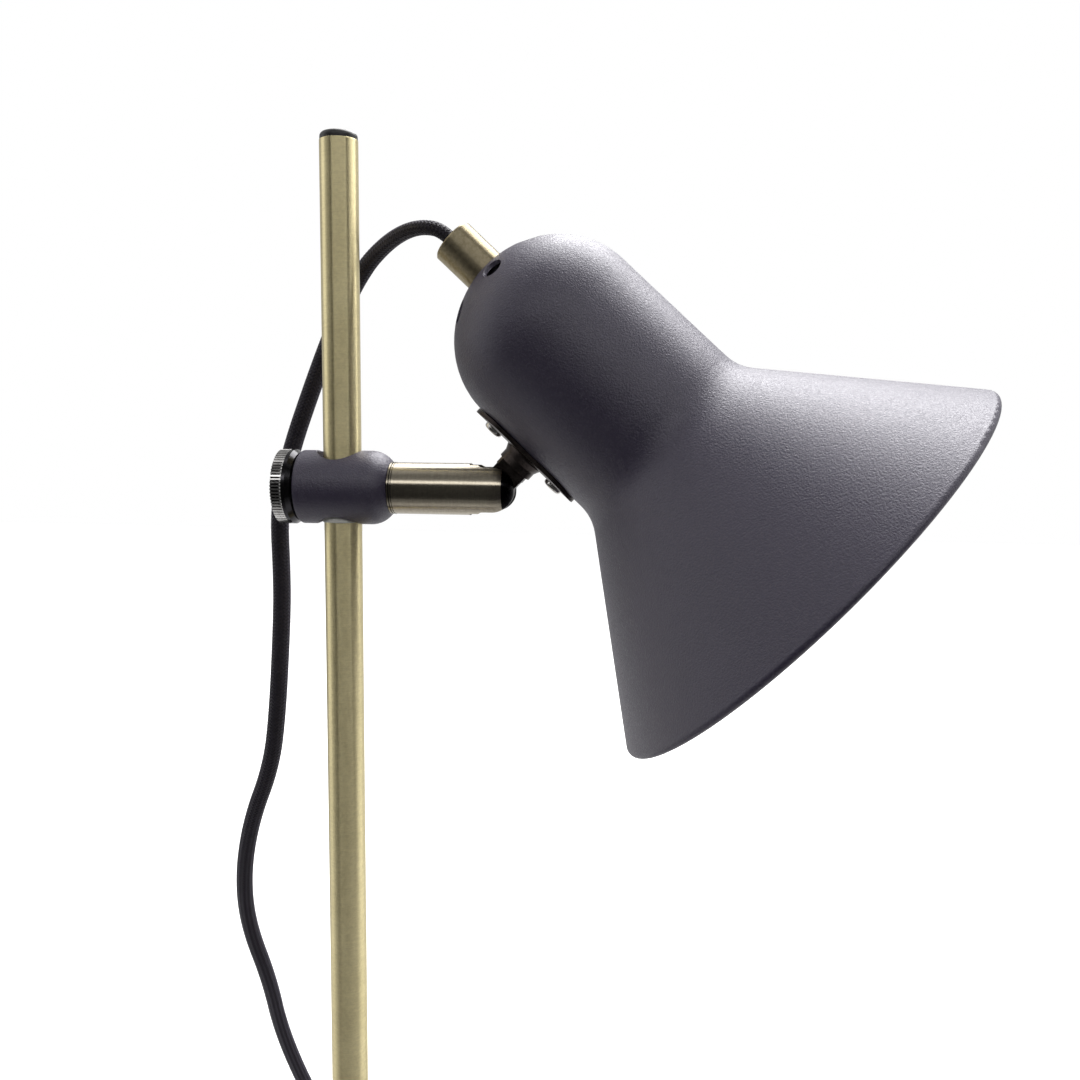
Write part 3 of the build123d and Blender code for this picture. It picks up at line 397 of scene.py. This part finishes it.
graphite_paint()
brushed("antique_brass", (0.74, 0.64, 0.355), (0.90, 0.79, 0.46), (0, 0, 1), (300, 300, 3400), 0.35,
        metallic=0.85)
brushed("gland_brass", (0.34, 0.285, 0.18), (0.50, 0.43, 0.285), SHADE_AXIS, (900, 900, 900), 0.47,
        metallic=0.95)
brushed("arm_metal", (0.36, 0.32, 0.25), (0.47, 0.425, 0.34), (1, 0, 0), (3400, 200, 200), 0.30,
        dark_reflection_from=NOSE_START)
brushed("ring_metal", (0.31, 0.275, 0.215), (0.41, 0.37, 0.295), (1, 0, 0), (3400, 200, 200), 0.30,
        grooves=[ring_low[0], (ring_low[0] + ring_high[0]) / 2, ring_high[0]])
plain_metal("dark_bronze", (0.040, 0.033, 0.030), (0.078, 0.065, 0.060), 0.33)
knurled_steel()
plain_metal("zinc_steel", (0.48, 0.49, 0.50), (0.66, 0.67, 0.68), 0.38)
plain_metal("cast_iron", (0.07, 0.07, 0.072), (0.15, 0.15, 0.15), 0.62, 700)
plain_coat("felt", (0.012, 0.012, 0.013), (0.030, 0.030, 0.032), 0.9, 2400, 0.0002)
plain_coat("nylon", (0.66, 0.65, 0.60), (0.74, 0.73, 0.69), 0.45)
plain_coat("black_plastic", (0.011, 0.011, 0.012), (0.020, 0.020, 0.022), 0.38)
braided_fabric()
plain_coat("porcelain", (0.74, 0.73, 0.69), (0.82, 0.81, 0.78), 0.18)
plain_metal("contact_brass", (0.66, 0.50, 0.22), (0.80, 0.64, 0.33), 0.26)
plain_coat("white_plastic", (0.72, 0.72, 0.71), (0.80, 0.80, 0.79), 0.36)
opal_glass()
plain_metal("plated_steel", (0.56, 0.54, 0.51), (0.74, 0.72, 0.69), 0.22)


def dress(piece, look):
    """Gives a piece one material, in place of what it had."""
    piece.data.materials.clear()
    piece.data.materials.append(looks[look])


# The gland differs in tone from the other nodes of its material, and the ring in tone and in
# painted groove shade.
own_looks = {"cord_gland": "gland_brass", "arm_ring": "ring_metal"}
for part in frame["record"]["subparts"]:
    node = nodes[part["node"]]
    dress(node, own_looks.get(part["node"], part["material_slot"]))
    for polygon in node.data.polygons:
        polygon.material_index = 0

# ---- cord ---------------------------------------------------------------------------------------

CORD_DIAMETER = 6.4 * MM
CORD_SIDES = 4 * BRAID_STRANDS
BRAID_DEPTH = 0.13 * MM
COIL_SIDES = 24  # too few for a woven mesh, so the coil's weave is in its material alone
PLAIN_HEIGHT = -0.4  # of a tube without the woven mesh, as a share of the braid's depth
GLAND_SHARE = 0.74  # of the cord's thickness, where it is squeezed in the gland
GLAND_RUN = 62 * MM  # over which it comes back to its full thickness
GLAND_LEAD = 4.6 * MM  # straight out of the gland

# Control points of the cord's stretches. The first three are given from the arm's height.
UPPER_ROUTE = [
    (0.0291, 0.0015, 0.0856), (0.0229, 0.0052, 0.0857), (0.0164, 0.0098, 0.0841),
    (0.0101, 0.0143, 0.0810), (0.0038, 0.0178, 0.0761), (-0.0030, 0.0196, 0.0666),
    (-0.0101, 0.0196, 0.0515), (-0.0174, 0.0185, 0.0321), (-0.0247, 0.0184, 0.0122),
    (-0.0300, 0.0186, -0.0080), (-0.0295, 0.0184, -0.0220),
]
MIDDLE_ROUTE = [
    (-0.0295, 0.0184, -0.0220), (-0.0290, 0.0182, -0.0360), (-0.0294, 0.0178, -0.0520),
    (-0.0307, 0.0184, -0.0680),
]
LOWER_ROUTE = [
    (-0.0307, 0.0184, -0.0680), (-0.0320, 0.0190, -0.0840), (-0.0360, 0.0220, -0.1060),
    (-0.0468, 0.0275, -0.1300), (-0.0542, 0.0360, -0.1560), (-0.0572, 0.0470, -0.1820),
    (-0.0540, 0.0600, -0.2120), (-0.0550, 0.0740, -0.2420), (-0.0515, 0.0900, -0.2760),
    (-0.0482, 0.1035, -0.2990), (-0.0440, 0.1200, -0.3190),
]
TABLE_ROUTE = [
    (-0.0385, 0.1320, 0.0032), (-0.0310, 0.1415, 0.0032), (-0.0205, 0.1475, 0.0052),
    (-0.0080, 0.1490, 0.0090), (0.0040, 0.1490, 0.0090),
]
ENTRY_ROUTE = [(0.064, 0.149, 0.009), (0.075, 0.149, 0.009), (0.088, 0.1522, 0.0043)]
EXIT_ROUTE = [(0.1364, 0.1050, 0.0106), (0.1364, 0.0950, 0.0080), (0.1364, 0.0850, 0.00685)]

COIL_CENTRE = Vector((0.100, 0.116, 0))
COIL_START = math.radians(90)
COIL_TURN = math.radians(1890)  # from the first point to the last
COIL_STEP = math.radians(30)  # from point to point
COIL_CROSSING = math.radians(60)  # over which it moves to the next slot
COIL_STRETCH = math.radians(300)  # from one slot's crossing to the next
# Radius and height of the cord's middle in each slot, in the order of winding.
COIL_SLOTS = [
    (0.0364, 0.0039), (0.0296, 0.0039), (0.0296, 0.0106),
    (0.0296, 0.0173), (0.0364, 0.0173), (0.0364, 0.0106),
]


def on_clamp(route):
    """A route that is given from the arm's height, as points over the table."""
    return [Vector(point) + Vector((0, 0, CLAMP_HEIGHT)) for point in route]


def smooth_step(share):
    """From 0 to 1, with an easy start and an easy end."""
    return share * share * (3 - 2 * share)


def coil_route():
    """The coil's turns, wound clockwise through the slots with an easy crossing between them."""
    points = []
    for step in range(1, round(COIL_TURN / COIL_STEP) + 1):
        turned = step * COIL_STEP
        index = min(int(turned / COIL_STRETCH), len(COIL_SLOTS) - 1)
        before = COIL_SLOTS[max(index - 1, 0)]
        share = min(max((turned - index * COIL_STRETCH) / COIL_CROSSING, 0), 1)
        ease = smooth_step(share)
        radius = before[0] + (COIL_SLOTS[index][0] - before[0]) * ease
        level = before[1] + (COIL_SLOTS[index][1] - before[1]) * ease
        angle = COIL_START - turned
        spoke = Vector((radius * math.cos(angle), radius * math.sin(angle), level))
        points.append(COIL_CENTRE + spoke)
    return points


def smooth_line(route):
    """Points of the NURBS spline that has the route's points as its control points."""
    curve = bpy.data.curves.new("route", "CURVE")
    curve.dimensions = "3D"
    curve.resolution_u = 24
    spline = curve.splines.new("NURBS")
    spline.points.add(len(route) - 1)
    for control, point in zip(spline.points, route):
        control.co = (*point, 1)
    spline.order_u = 3
    spline.use_endpoint_u = True
    guide = bpy.data.objects.new("route", curve)
    mesh = bpy.data.meshes.new_from_object(guide)
    line = [vertex.co.copy() for vertex in mesh.vertices]
    bpy.data.objects.remove(guide)
    bpy.data.meshes.remove(mesh)
    return line


def length_of(line):
    return sum((b - a).length for a, b in zip(line, line[1:]))


def evenly(line, step):
    """The line's points again, as near to a step apart as lets them end where the line ends."""
    count = max(2, round(length_of(line) / step))
    spacing = length_of(line) / count
    points = [line[0].copy()]
    walked = 0.0
    for a, b in zip(line, line[1:]):
        run = (b - a).length
        while len(points) < count and walked + run >= spacing * len(points):
            points.append(a.lerp(b, (spacing * len(points) - walked) / run))
        walked += run
    points.append(line[-1].copy())
    return points


def mesh_piece(name, made, look):
    """A new smooth object from a bmesh, with one look."""
    mesh = bpy.data.meshes.new(name)
    bmesh.ops.recalc_face_normals(made, faces=made.faces)
    made.to_mesh(mesh)
    made.free()
    piece = bpy.data.objects.new(name, mesh)
    collection.objects.link(piece)
    for polygon in mesh.polygons:
        polygon.use_smooth = True
    dress(piece, look)
    return piece


def braid_height(along, aside):
    """How high the upper strand stands, from 0 to 1, in the same pattern as the cord's material.
    Along and aside are counted in strands, along the cord and round it."""
    first, second = along + aside, along - aside
    top = first if (math.floor(first) + math.floor(second)) % 2 else second
    return 1 - (2 * (top % 1) - 1) ** 2


def cord_tube(name, line, sides, start, thickness):
    """A braided tube along a line, with its weave in the mesh where it has sides enough for it.
    Start counts the braid's quarter periods before it, so that one stretch goes on from another."""
    woven = sides == CORD_SIDES
    periods_apart = 0.25 if woven else 1.0
    points = evenly(line, BRAID_PERIOD * periods_apart)
    made = bmesh.new()
    uv = made.loops.layers.uv.new("UVMap")
    rings = []
    across = Vector((0, 1, 0))
    distance = 0.0
    for index, point in enumerate(points):
        ahead = points[min(index + 1, len(points) - 1)] - points[max(index - 1, 0)]
        ahead.normalize()
        across = (across - ahead * across.dot(ahead)).normalized()
        other = ahead.cross(across)
        if index:
            distance += (point - points[index - 1]).length
        scale = thickness(distance)
        ring = []
        for side in range(sides):
            angle = 2 * math.pi * side / sides
            height = braid_height((start + index) / 4, side / 4) - 1 if woven else PLAIN_HEIGHT
            radius = (CORD_DIAMETER / 2 + BRAID_DEPTH * height) * scale
            spoke = across * math.cos(angle) + other * math.sin(angle)
            ring.append(made.verts.new(point + spoke * radius))
        rings.append(ring)
    for index, (near, far) in enumerate(zip(rings, rings[1:])):
        for side in range(sides):
            after = (side + 1) % sides
            face = made.faces.new((near[side], near[after], far[after], far[side]))
            corners = [(index, side), (index, side + 1), (index + 1, side + 1), (index + 1, side)]
            for loop, (step, turn) in zip(face.loops, corners):
                loop[uv].uv = (start / 4 + step * periods_apart, turn / sides)
    made.faces.new(rings[0][::-1])
    made.faces.new(rings[-1])
    return mesh_piece(name, made, "cord_fabric"), start + len(points) - 1


def squeezed(distance):
    """The cord's thickness near the gland, as a share."""
    return GLAND_SHARE + (1 - GLAND_SHARE) * smooth_step(min(distance / GLAND_RUN, 1))


def hang_cord(name, route, nodes_replaced, bodies, sides=CORD_SIDES, start=0,
              thickness=lambda distance: 1.0):
    """A stretch of cord along its route, which hides the nodes that it replaces. With one body the
    piece is attached to it; with two it stays where it is. It gives the count of the braid at its
    end, where the next stretch starts."""
    line = smooth_line(route)
    tube, end = cord_tube(name, line, sides, start, thickness)
    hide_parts(*nodes_replaced)
    if len(bodies) == 2:
        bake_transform(tube)
    else:
        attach(tube, bodies[0])
    return end


upper = [GLAND_EXIT, GLAND_EXIT - SHADE_AXIS * GLAND_LEAD, *on_clamp(UPPER_ROUTE)]
lower = [*on_clamp(LOWER_ROUTE), *map(Vector, TABLE_ROUTE)]
coiled = [*map(Vector, ENTRY_ROUTE), *coil_route(), *map(Vector, EXIT_ROUTE)]
mark = hang_cord("cord_to_head", upper, ["cord_upper"], ["head", "slider"],
                 thickness=squeezed)
mark = hang_cord("cord_by_clamp", on_clamp(MIDDLE_ROUTE), ["cord_middle"],
                 ["slider", "sleeve"], start=mark)
mark = hang_cord("cord_down", lower, ["cord_lower"], ["sleeve", "stand"], start=mark)
hang_cord("cord_coiled", coiled, ["cord_to_coil", "cord_coil", "cord_to_plug"], ["stand"],
          sides=COIL_SIDES)

# ---- light and floor ----------------------------------------------------------------------------

FLOOR_FRONT = -0.31
FLOOR_BACK = 3.0
FLOOR_SIDE = 2.2
FLOOR_DEPTH = 0.1 * MM  # under the lamp's foot
FLOOR_GLOW = 0.62  # of the white floor, which brings it up to the white behind it
FLOOR_IN_METAL = 0.08  # how much of the white floor the metal shows
# What lights the lamp is a grey table, which is darker in front of it.
FLOOR_DARK_TO = -0.20
FLOOR_GREY_FROM = -0.08
FLOOR_DARK = 0.06
FLOOR_GREY = 0.5

ROOM_FRONT = (0.306, -0.952, 0)  # level, from the post to the camera
ROOM_RIGHT = (0.952, 0.306, 0)
ROOM_STRENGTH = 1.25
# Brightness by the turn from the front, in degrees, as a share of the strength.
ROOM_WALLS = [
    (-180, 0.35), (-128, 0.35), (-124, 0.95), (-98, 0.95), (-94, 0.48), (-64, 0.48), (-61, 0.08),
    (-52, 0.08), (-49, 1.25), (36, 1.25), (38, 1.5), (44, 1.5), (47, 0.10), (62, 0.16),
    (68, 1.0), (108, 1.0), (112, 0.45), (180, 0.50),
]
# By the same turn, the share of ROOM_FRONT_RISE. The rest is of ROOM_SIDE_RISE.
ROOM_FRONT_SHARE = [(-95, 0), (-70, 1), (66, 1), (80, 0)]
# Brightness in front by height, the sine of the elevation: dark, then the window, a dim ceiling.
ROOM_FRONT_RISE = [
    (-1.0, 0.03), (0.38, 0.03), (0.43, 2.0), (0.55, 2.0), (0.60, 0.20), (0.90, 0.20), (1.0, 0.60),
]
# The same at the other sides, which are white down to just under the horizon.
ROOM_SIDE_RISE = [(-1.0, 0.15), (-0.35, 0.15), (-0.08, 1.0), (1.0, 1.0)]


def make_floor():
    """A table top that ends just in front of the lamp. It is white to the camera, which still sees
    the lamp's shadow on it, and in part to the metal. To all other light it is a grey table."""
    made = bmesh.new()
    corners = [(-FLOOR_SIDE, FLOOR_FRONT), (FLOOR_SIDE, FLOOR_FRONT), (FLOOR_SIDE, FLOOR_BACK),
               (-FLOOR_SIDE, FLOOR_BACK)]
    made.faces.new([made.verts.new((x, y, -FLOOR_DEPTH)) for x, y in corners])
    tree = new_material("floor")
    glossy = tree.add("LightPath").outputs["Is Glossy Ray"]
    white = tree.maths("MAXIMUM", tree.seen(), tree.maths("MULTIPLY", glossy, FLOOR_IN_METAL))
    grain = tree.noise(tree.place(), 300, 2)
    top = tree.mix(grain, (0.78, 0.78, 0.78), (0.82, 0.82, 0.82))
    shown = tree.add("BsdfDiffuse", {"Color": top})
    glow = tree.add("Emission", {"Color": (1, 1, 1), "Strength": FLOOR_GLOW})
    both = tree.add("AddShader", {0: shown.outputs[0], 1: glow.outputs[0]})
    back = tree.add("SeparateXYZ", {0: tree.place()}).outputs[1]
    grey = tree.spread(back, FLOOR_DARK_TO, FLOOR_GREY_FROM, FLOOR_DARK, FLOOR_GREY)
    lit = tree.add("BsdfDiffuse", {"Color": grey})
    mixed = tree.add("MixShader", {0: white, 1: lit.outputs[0], 2: both.outputs[0]})
    tree.output(mixed.outputs[0])
    mesh_piece("floor", made, "floor")


def make_world():
    """White where the camera looks past the lamp. What lights the lamp and shows in its metal is a
    room: white cards at both sides, a dark space behind the camera, and a long window over that."""
    world = bpy.data.worlds.new("room")
    bpy.context.scene.world = world
    tree = Tree(world)
    direction = tree.add("TexCoord").outputs["Generated"]
    turn = tree.maths("ARCTAN2", tree.dot(direction, ROOM_RIGHT), tree.dot(direction, ROOM_FRONT))
    degrees = tree.maths("DIVIDE", turn, math.radians(1))
    level = tree.add("SeparateXYZ", {0: direction}).outputs[2]
    height = tree.mix(tree.ramp(degrees, ROOM_FRONT_SHARE), tree.ramp(level, ROOM_SIDE_RISE),
                      tree.ramp(level, ROOM_FRONT_RISE))
    room = tree.mix(1.0, tree.ramp(degrees, ROOM_WALLS), height, "MULTIPLY")
    lit = tree.add("Background", {"Color": room, "Strength": ROOM_STRENGTH})
    plain = tree.add("Background", {"Color": (1, 1, 1), "Strength": 1.0})
    mixed = tree.add("MixShader", {0: tree.seen(), 1: lit.outputs[0], 2: plain.outputs[0]})
    tree.output(mixed.outputs[0], "OutputWorld")


SOFTBOX_PLACE = Vector((0.33, 0.70, 1.43))
SOFTBOX_AIM = Vector((0.08, 0.0, 0.36))
SOFTBOX_WIDTH = 1.2
SOFTBOX_HEIGHT = 1.0
SOFTBOX_POWER = 30.0


def make_softbox():
    """A large soft light above and behind the lamp, aimed at its shade."""
    data = bpy.data.lights.new("softbox_above", "AREA")
    data.shape = "RECTANGLE"
    data.size = SOFTBOX_WIDTH
    data.size_y = SOFTBOX_HEIGHT
    data.energy = SOFTBOX_POWER
    lamp = bpy.data.objects.new("softbox_above", data)
    lamp.location = SOFTBOX_PLACE
    lamp.rotation_mode = "QUATERNION"
    lamp.rotation_quaternion = (SOFTBOX_AIM - SOFTBOX_PLACE).to_track_quat("-Z", "Y")
    collection.objects.link(lamp)


make_camera()
make_floor()
make_world()
make_softbox()
